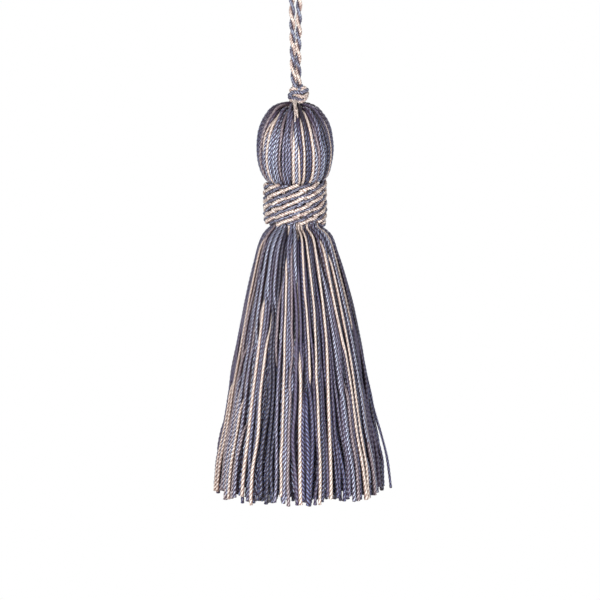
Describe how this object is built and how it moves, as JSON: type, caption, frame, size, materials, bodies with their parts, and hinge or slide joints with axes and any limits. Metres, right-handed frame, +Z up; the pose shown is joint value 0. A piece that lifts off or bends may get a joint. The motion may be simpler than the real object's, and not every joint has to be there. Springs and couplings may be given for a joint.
{
  "type": "tassel on a hanging loop",
  "caption": "Hanging yarn tassel with a round head, a corded neck binding, a flared cut skirt and a knotted cord loop to hang it by.",
  "frame": {"origin": "inside of the loop's bend, where a hook or a knob holds it", "axes": "+Z up along the tassel, towards what holds it; the picture looks along +Y, with +X to its right"},
  "size_m": [0.0436, 0.0436, 0.151],
  "materials": {
    "mixed_yarn": "lustrous plied yarn, navy, slate blue and cream",
    "binding_cord": "two-strand twisted cord, slate blue and cream",
    "knot_cord": "two-strand twisted cord, slate blue and cream",
    "loop_cord": "two-strand twisted cord, slate blue and cream"
  },
  "bodies": {
    "root": {"yarn_bundle": "mixed_yarn", "neck_binding": "binding_cord", "loop_knot": "knot_cord", "hanging_loop": "loop_cord"}
  },
  "joints": []
}
